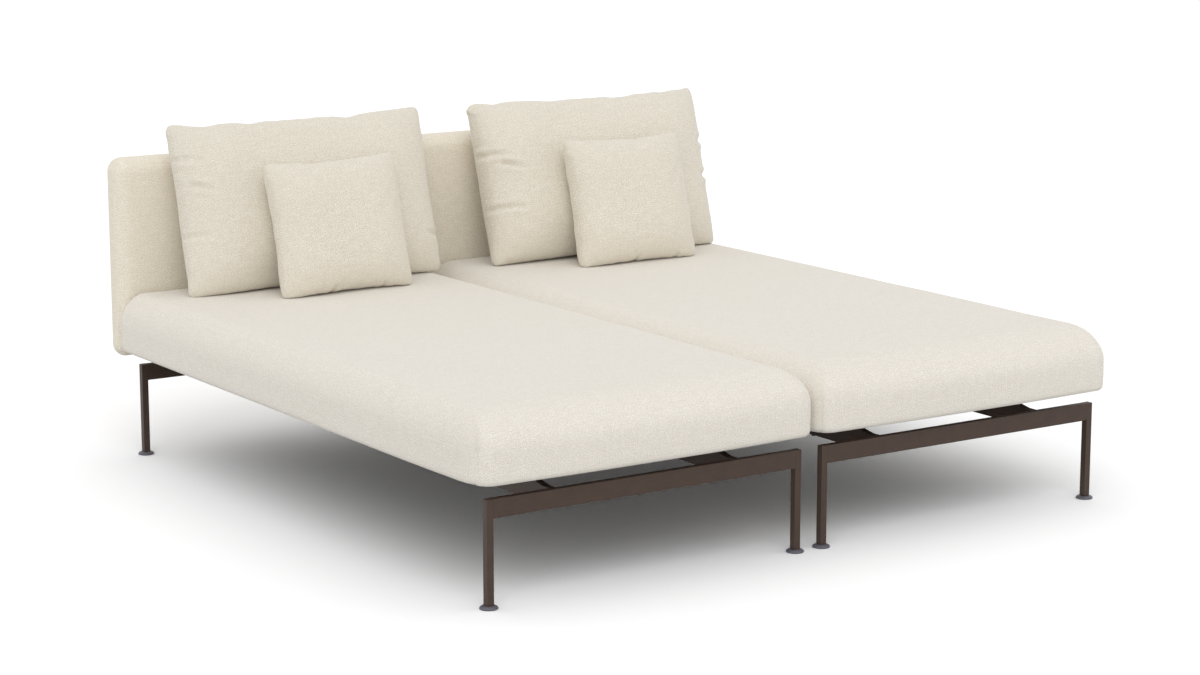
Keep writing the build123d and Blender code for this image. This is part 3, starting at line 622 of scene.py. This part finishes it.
def newTree(name, numbers):
    # a Geometry Nodes tree with one named input for each number
    tree = bpy.data.node_groups.new(name, "GeometryNodeTree")
    tree.interface.new_socket("Geometry", in_out="INPUT", socket_type="NodeSocketGeometry")
    for label in numbers:
        tree.interface.new_socket(label, in_out="INPUT", socket_type="NodeSocketFloat")
    tree.interface.new_socket("Geometry", in_out="OUTPUT", socket_type="NodeSocketGeometry")
    return tree, addNode(tree, "NodeGroupInput"), addNode(tree, "NodeGroupOutput")


def keepShape(obj):
    # the modifiers' result becomes the object's own mesh
    shaped = bpy.data.meshes.new_from_object(obj.evaluated_get(bpy.context.evaluated_depsgraph_get()))
    obj.modifiers.clear()
    old, obj.data = obj.data, shaped
    bpy.data.meshes.remove(old)


def runTree(obj, tree, numbers):
    # sets the inputs by identifier, and keeps the tree's result as a plain mesh
    work = obj.modifiers.new("nodes", "NODES")
    work.node_group = tree
    for item in tree.interface.items_tree:
        if item.in_out == "INPUT" and item.name in numbers:
            work[item.identifier] = float(numbers[item.name])
    keepShape(obj)


def pieceAlong(name, item, material, numbers):
    # one small piece at every gap along each line of edges, its Z along the line
    tree, given, out = newTree(name, numbers)
    line = addNode(tree, "GeometryNodeMeshToCurve", {"Mesh": given.outputs["Geometry"]})
    spots = addNode(tree, "GeometryNodeCurveToPoints", {"Curve": line.outputs[0],
                                                        "Length": given.outputs["gap"]}, mode="LENGTH")
    put = addNode(tree, "GeometryNodeInstanceOnPoints",
                  {"Points": spots.outputs["Points"], "Instance": item(tree, given),
                   "Rotation": spots.outputs["Rotation"]})
    real = addNode(tree, "GeometryNodeRealizeInstances", {"Geometry": put.outputs[0]})
    finish = addNode(tree, "GeometryNodeSetMaterial", {"Geometry": real.outputs[0], "Material": material})
    tree.links.new(finish.outputs[0], out.inputs[0])
    return tree


def stapleCrown(tree, given):
    # the straight wire of a staple that shows on the cloth
    size = addNode(tree, "ShaderNodeCombineXYZ",
                   {0: given.outputs["height"], 1: given.outputs["wire"], 2: given.outputs["crown"]})
    return addNode(tree, "GeometryNodeMeshCube", {"Size": size.outputs[0]}).outputs[0]


def stitchOfThread(tree, given):
    # one stitch: a ball of few faces and 1 m across, drawn out along the seam
    ball = addNode(tree, "GeometryNodeMeshUVSphere", {"Radius": 0.5, "Segments": 8, "Rings": 5})
    size = addNode(tree, "ShaderNodeCombineXYZ",
                   {0: given.outputs["thread"], 1: given.outputs["thread"], 2: given.outputs["length"]})
    bead = addNode(tree, "GeometryNodeTransform", {"Geometry": ball.outputs[0], "Scale": size.outputs[0]})
    return bead.outputs[0]


def makeDustSheet(side):
    low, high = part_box(side + "_seat_cover")
    inset, across, along = dustSheet["inset"], dustSheet["cells"], 2 * dustSheet["cells"]
    x0, x1 = low.x + inset, high.x - inset
    y0, y1 = low.y + inset, high.y - inset
    z = low.z + dustSheet["lift"]
    verts, faces, uvs = [], [], []
    for i in range(across + 1):
        for j in range(along + 1):
            s, t = i / across, j / along
            edge = min(min(s, 1 - s) * (x1 - x0), min(t, 1 - t) * (y1 - y0))
            waves = (math.cos(s * (x1 - x0) / staples["gap"] * 2 * math.pi)
                     + math.cos(t * (y1 - y0) / staples["gap"] * 2 * math.pi))
            pucker = dustSheet["pucker"] * waves * math.exp(-edge / dustSheet["puckerReach"])
            verts.append((x0 + s * (x1 - x0), y0 + t * (y1 - y0), z + pucker))
    row = along + 1
    for i in range(across):
        for j in range(along):
            a = i * row + j
            face = [a, a + 1, a + row + 1, a + row]
            faces.append(face)
            uvs.append([verts[k][:2] for k in face])
    sheet = meshObject(side + "DustCloth", verts, faces, dustCloth, uvs)
    wall = sheet.modifiers.new("thickness", "SOLIDIFY")
    wall.thickness, wall.offset = dustSheet["thickness"], -1.0
    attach(sheet, "lounger")
    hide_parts("seat_dust_cloths")
    # the line of its staples
    e = staples["inset"]
    x0, x1, y0, y1 = x0 + e, x1 - e, y0 + e, y1 - e
    return [(x0, y0, low.z), (x1, y0, low.z), (x1, y1, low.z), (x0, y1, low.z)]


def joinLines(lines):
    # open or closed lines of points as one mesh of loose edges
    verts, edges = [], []
    for line, closed in lines:
        start = len(verts)
        verts += line
        edges += [(start + k, start + k + 1) for k in range(len(line) - 1)]
        edges += [(start + len(line) - 1, start)] if closed else []
    mesh = bpy.data.meshes.new("lines")
    mesh.from_pydata(verts, edges, [])
    return mesh


def alongLines(name, lines, tree, numbers):
    piece = linkTo(bpy.data.objects.new(name, joinLines(lines)))
    runTree(piece, tree, numbers)
    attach(piece, "lounger")


def besideSeam(seam, sideways):
    # one of the two rows of top stitching along a corner seam
    middle = math.copysign(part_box("right_seat_cover")[1].x / 2, seam[0][0])
    row = []
    for k, spot in enumerate(seam):
        spot = Vector(spot)
        out = Vector((math.copysign(1, spot.x - middle), math.copysign(1, spot.y), 0)).normalized()
        across = Vector((-out.y, out.x, 0))
        along = Vector(seam[min(k + 1, len(seam) - 1)]) - Vector(seam[max(k - 1, 0)])
        normal = across.cross(along).normalized()
        # the normal that points out and up, not in
        normal = normal if normal.dot(out + Vector((0, 0, 0.5))) > 0 else -normal
        row.append(tuple(spot + across * sideways * stitchRows["away"] + normal * stitchRows["out"]))
    return row


rims = [makeDustSheet(side) for side in ("left", "right")]
alongLines("dustClothStaples", [(rim, True) for rim in rims],
           pieceAlong("stapleRow", stapleCrown, zincSteel, staples), staples)
rows = [(besideSeam(seam, sideways), False) for seam in seams for sideways in (-1, 1)]
alongLines("seamStitches", rows, pieceAlong("stitchRow", stitchOfThread, seamThread, stitches), stitches)
print("dust cloths, staples and stitches made")


# Loose pillows: two panels sewn round the edge, blown up by a cloth simulation from a domed start. Spots on a
# panel go from -1 to 1 across and up, everything else is in metres and degrees.
# ears: a corner (across, up), how far it is pulled out (across, up) and over what reach
# creases: from one spot of the front panel to another, then depth and width
# dips: where the top edge sinks, how deep and over what share of the half width
# sink and press: how much of the pillow is flattened where it rests on the seat and against the backrest
pillows = {
    "left_big": {"flat": (0.710, 0.422), "loft": 0.068, "lean": 14.0, "turn": -0.3, "shoulder": 0.150,
                 "cell": 0.009, "corner": 0.020, "sink": 0.006, "press": 0.004, "seed": 1.0,
                 "ears": [],
                 "creases": [(-0.99, 0.58, -0.80, 0.53, 0.0035, 0.006),
                             (-0.93, 0.28, -0.74, 0.16, 0.0048, 0.006),
                             (-0.98, -0.30, -0.78, -0.33, 0.003, 0.006),
                             (0.96, -0.55, 0.82, -0.48, 0.004, 0.006)],
                 "dips": [(-0.72, 0.006, 0.10), (-0.36, 0.004, 0.08), (0.42, 0.006, 0.10)]},
    "right_big": {"flat": (0.710, 0.422), "loft": 0.078, "lean": 16.5, "turn": 0.4, "shoulder": 0.150,
                  "cell": 0.009, "corner": 0.020, "sink": 0.006, "press": 0.004, "seed": 2.0,
                  "ears": [(-1, 1, -0.009, -0.014, 0.026), (1, 1, 0.004, 0.007, 0.022)],
                  "creases": [(-0.99, 0.32, -0.78, 0.27, 0.0055, 0.006),
                              (-0.89, 0.20, -0.68, 0.08, 0.007, 0.006),
                              (-0.98, -0.33, -0.70, -0.36, 0.006, 0.006),
                              (-0.99, 0.88, -0.86, 0.94, 0.006, 0.006),
                              (0.97, -0.10, 0.84, -0.14, 0.006, 0.007),
                              (0.97, 0.34, 0.86, 0.28, 0.005, 0.007)],
                  "dips": [(-0.80, 0.007, 0.08), (-0.30, 0.004, 0.10), (0.30, 0.004, 0.10)]},
    "left_small": {"flat": (0.362, 0.330), "loft": 0.054, "lean": 14.5, "turn": -0.7, "shoulder": 0.115,
                   "cell": 0.007, "corner": 0.020, "sink": 0.005, "press": 0.006, "seed": 3.0,
                   "ears": [],
                   "creases": [(-0.30, -0.99, -0.22, -0.84, 0.004, 0.006),
                               (0.55, -0.99, 0.50, -0.86, 0.003, 0.006)],
                   "dips": [(-0.30, 0.004, 0.12)]},
    "right_small": {"flat": (0.362, 0.330), "loft": 0.054, "lean": 14.5, "turn": 0.2, "shoulder": 0.115,
                    "cell": 0.007, "corner": 0.020, "sink": 0.005, "press": 0.006, "seed": 4.0,
                    "ears": [],
                    "creases": [(-0.10, -0.99, -0.04, -0.82, 0.004, 0.006),
                                (0.62, -0.99, 0.58, -0.86, 0.003, 0.006)],
                    "dips": [(0.2, 0.003, 0.12)]},
}
# the flat panels and their cut in the UV map. A higher power keeps its form closer to the seam
panels = {"drawnIn": 0.010, "drawnPower": 3, "wavy": 0.0022, "wavyPower": 8, "wavesUp": 6, "wavesAcross": 9,
          "waveDrift": 2, "dipPower": 4, "fullness": 0.45, "crowding": 0.5, "stretch": (1.08, 1.1),
          "backCut": 1.2}
# the filling: a short cloth simulation under pressure
filling = {"pressure": 1.0, "bend": 4.0, "stiff": 20.0, "shear": 1 / 3, "mass": 0.3, "quality": 6,
           "frames": 14, "fill": 0.6}


def pillowPanels(name, form):
    width, height = form["flat"]
    nx, nz = round(width / form["cell"]), round(height / form["cell"])
    cutX, cutZ = form["corner"] / (width / 2), form["corner"] / (height / 2)
    verts, faces, uvs, index = [], [], [], {}

    def fullness(edge):
        # how full the pillow is at a distance from its seam
        near = max(0.0, 1 - edge / form["shoulder"])
        return max(0.0, 1 - near * near) ** panels["fullness"]

    def crowded(k, count):
        # grid lines crowd towards the seam
        even, share = 2 * k / count - 1, panels["crowding"]
        return even if k in (0, count) else (1 - share) * even + share * math.sin(math.pi / 2 * even)

    def addSpot(i, j, front):
        # one grid point, which both panels share on the seam
        key = (i, j, front or i in (0, nx) or j in (0, nz))
        if key in index:
            return index[key]
        s, t = crowded(i, nx), crowded(j, nz)
        y = form["loft"] * fullness((1 - abs(s)) * width / 2) * fullness((1 - abs(t)) * height / 2)
        a, b = max(0.0, abs(s) - 1 + cutX) / cutX, max(0.0, abs(t) - 1 + cutZ) / cutZ
        if a > 0 and b > 0:
            # the corners are cut round
            pull = max(a, b) / math.hypot(a, b)
            s, t = math.copysign(1 - cutX * (1 - a * pull), s), math.copysign(1 - cutZ * (1 - b * pull), t)
        x, z = s * width / 2, t * height / 2
        # the sides are drawn in between the corners, and their seams waver
        x -= math.copysign(panels["drawnIn"], s) * (1 - t * t) * abs(s) ** panels["drawnPower"]
        z -= math.copysign(panels["drawnIn"], t) * (1 - s * s) * abs(t) ** panels["drawnPower"]
        waveX = Vector((t * panels["wavesUp"], s * panels["waveDrift"], form["seed"]))
        waveZ = Vector((s * panels["wavesAcross"], t * panels["waveDrift"], form["seed"] + 5))
        x += panels["wavy"] * noise.noise(waveX) * abs(s) ** panels["wavyPower"]
        z += panels["wavy"] * noise.noise(waveZ) * abs(t) ** panels["wavyPower"]
        for sideX, sideZ, outX, outZ, reach in form["ears"]:
            near = math.exp(-((s - sideX) * width / 2 / reach) ** 2 - ((t - sideZ) * height / 2 / reach) ** 2)
            x, z = x + outX * near, z + outZ * near
        for place, depth, reach in form["dips"]:
            z -= depth * math.exp(-((s - place) / reach) ** 2) * max(0.0, t) ** panels["dipPower"]
        index[key] = len(verts)
        verts.append((x, -y if front else y, z))
        return index[key]

    stretchX, stretchZ = panels["stretch"]
    for front in (True, False):
        for i in range(nx):
            for j in range(nz):
                corners = [(i, j), (i + 1, j), (i + 1, j + 1), (i, j + 1)]
                corners = corners if front else corners[::-1]
                faces.append([addSpot(p, q, front) for p, q in corners])
                uvs.append([(p / nx * width * stretchX + (0 if front else panels["backCut"]),
                             q / nz * height * stretchZ) for p, q in corners])
    return meshObject(name, verts, faces, pillowClothWarmShade, uvs)


def blowUp(pillow):
    # inflates the sewn panels with the seam held, then keeps the result as a plain mesh
    onSeam = [v.index for v in pillow.data.vertices if abs(v.co.y) < 1e-6]
    pillow.vertex_groups.new(name="seam").add(onSeam, 1.0, "REPLACE")
    cloth = pillow.modifiers.new("filling", "CLOTH")
    how = cloth.settings
    how.use_pressure = True
    how.uniform_pressure_force = filling["pressure"]
    how.effector_weights.gravity = 0
    how.quality = filling["quality"]
    how.mass = filling["mass"]
    how.tension_stiffness = how.compression_stiffness = filling["stiff"]
    how.shear_stiffness = filling["stiff"] * filling["shear"]
    how.bending_stiffness = filling["bend"]
    how.vertex_group_mass = "seam"
    how.pin_stiffness = 1.0
    cloth.collision_settings.use_collision = False
    cloth.point_cache.frame_start, cloth.point_cache.frame_end = 1, filling["frames"]
    scene.frame_start, scene.frame_end = 1, filling["frames"]
    for step in range(1, filling["frames"] + 1):
        scene.frame_set(step)
    keepShape(pillow)
    pillow.vertex_groups.clear()
    scene.frame_set(1)


# a crease fades in and out along itself, bends a little and has a soft fold on each side
creasing = {"bend": 0.003, "waves": 3, "fadeInFrom": -0.05, "fadeIn": 0.15, "fadeOutFrom": 0.35,
            "fadeOut": 0.75, "foldAway": 2.1, "fold": 0.5}
# the filling's slow lumps, different on each side, and small puckers where the seam gathers the cloth
lumps = {"scale": 7, "height": 0.0035, "seedStep": 9.1, "backStep": 3, "seamReach": 0.02,
         "puckerScale": 26, "pucker": 0.003, "puckerReach": 0.035}


def pressCreases(pillow, form):
    width, height = form["flat"]
    mesh = pillow.data
    normals = [v.normal.copy() for v in mesh.vertices]
    for vert, normal in zip(mesh.vertices, normals):
        spot = Vector((vert.co.x, vert.co.z))
        onFront = vert.co.y <= 0.001
        move = 0.0
        for x0, z0, x1, z1, depth, reach in form["creases"] if onFront else []:
            start = Vector((x0 * width / 2, z0 * height / 2))
            end = Vector((x1 * width / 2, z1 * height / 2))
            along = end - start
            share = (spot - start).dot(along) / along.length_squared
            bend = creasing["bend"] * math.sin(creasing["waves"] * min(1, max(0, share)))
            across = (spot - start).cross(along.normalized()) + bend
            fade = (smooth((share - creasing["fadeInFrom"]) / creasing["fadeIn"])
                    * (1 - smooth((share - creasing["fadeOutFrom"]) / creasing["fadeOut"])))
            valley = math.exp(-(across / reach) ** 2)
            folds = math.exp(-((abs(across) - creasing["foldAway"] * reach) / reach) ** 2)
            move -= depth * fade * (valley - creasing["fold"] * folds)
        layer = form["seed"] * lumps["seedStep"] + (lumps["backStep"] if vert.co.y > 0 else 0)
        slow = Vector((spot.x * lumps["scale"], spot.y * lumps["scale"], layer))
        inside = smooth(abs(vert.co.y) / lumps["seamReach"])
        move += inside * lumps["height"] * noise.noise(slow)
        edge = 1 - smooth(abs(vert.co.y) / lumps["puckerReach"])
        gather = Vector((spot.x * lumps["puckerScale"], spot.y * lumps["puckerScale"], form["seed"]))
        move += edge * inside * lumps["pucker"] * noise.noise(gather)
        vert.co += normal * move


# how softly a pillow bends onto the seat, the backrest and the pillow behind it
touch = {"seat": 0.006, "backrest": 0.008, "behind": 0.005, "gap": 0.0003, "rayStart": 0.3, "rayLength": 0.6}


def softLimit(value, limit, reach):
    # keeps value over limit, bending into it over reach
    away = value - limit
    if away >= reach:
        return value
    if away <= -reach:
        return limit + touch["gap"]
    return limit + max(touch["gap"], (away + reach) ** 2 / (4 * reach))


def setDown(name, pillow, form, behind=None):
    # leans the pillow, fits it to its CAD box and flattens it where it rests
    low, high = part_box(name + "_pillow_cover")
    lean = Matrix.Rotation(math.radians(-form["lean"]), 4, "X")
    turn = lean @ Matrix.Rotation(math.radians(form["turn"]), 4, "Y")
    pillow.data.transform(turn)
    spots = [v.co for v in pillow.data.vertices]
    least = Vector([min(s[k] for s in spots) for k in range(3)])
    most = Vector([max(s[k] for s in spots) for k in range(3)])
    goalLow = Vector((low.x, low.y, low.z - form["sink"]))
    goalHigh = Vector((high.x, high.y + form["press"], high.z))
    for spot in spots:
        for k in range(3):
            spot[k] = goalLow[k] + (spot[k] - least[k]) / (most[k] - least[k]) * (goalHigh[k] - goalLow[k])
        spot.z = softLimit(spot.z, low.z, touch["seat"])
        if behind is None:
            spot.y = -softLimit(-spot.y, -high.y, touch["backrest"])
    if behind is not None:
        forward = turn.to_3x3() @ Vector((0, -1, 0))
        for spot in spots:
            hit = behind.ray_cast(spot + forward * touch["rayStart"], -forward, touch["rayLength"])
            if hit[0] is not None:
                away = (spot - hit[0]).dot(forward)
                spot += forward * (softLimit(away, 0.0, touch["behind"]) - away)
    pillow.data.update()


def makePillow(name, behind=None):
    form = pillows[name]
    title = name.split("_")[0] + name.split("_")[1].capitalize() + "Pillow"
    pillow = pillowPanels(title, form)
    blowUp(pillow)
    rounder = pillow.modifiers.new("smoothing", "SUBSURF")
    rounder.levels = rounder.render_levels = 1
    keepShape(pillow)
    pressCreases(pillow, form)
    setDown(name, pillow, form, behind)
    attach(pillow, name + "_pillow")
    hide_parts(name + "_pillow_cover", name + "_pillow_filling")
    print("pillow", name, "made")
    return pillow


for side in ("left", "right"):
    big = makePillow(side + "_big")
    tree = BVHTree.FromObject(big, bpy.context.evaluated_depsgraph_get())
    makePillow(side + "_small", tree)
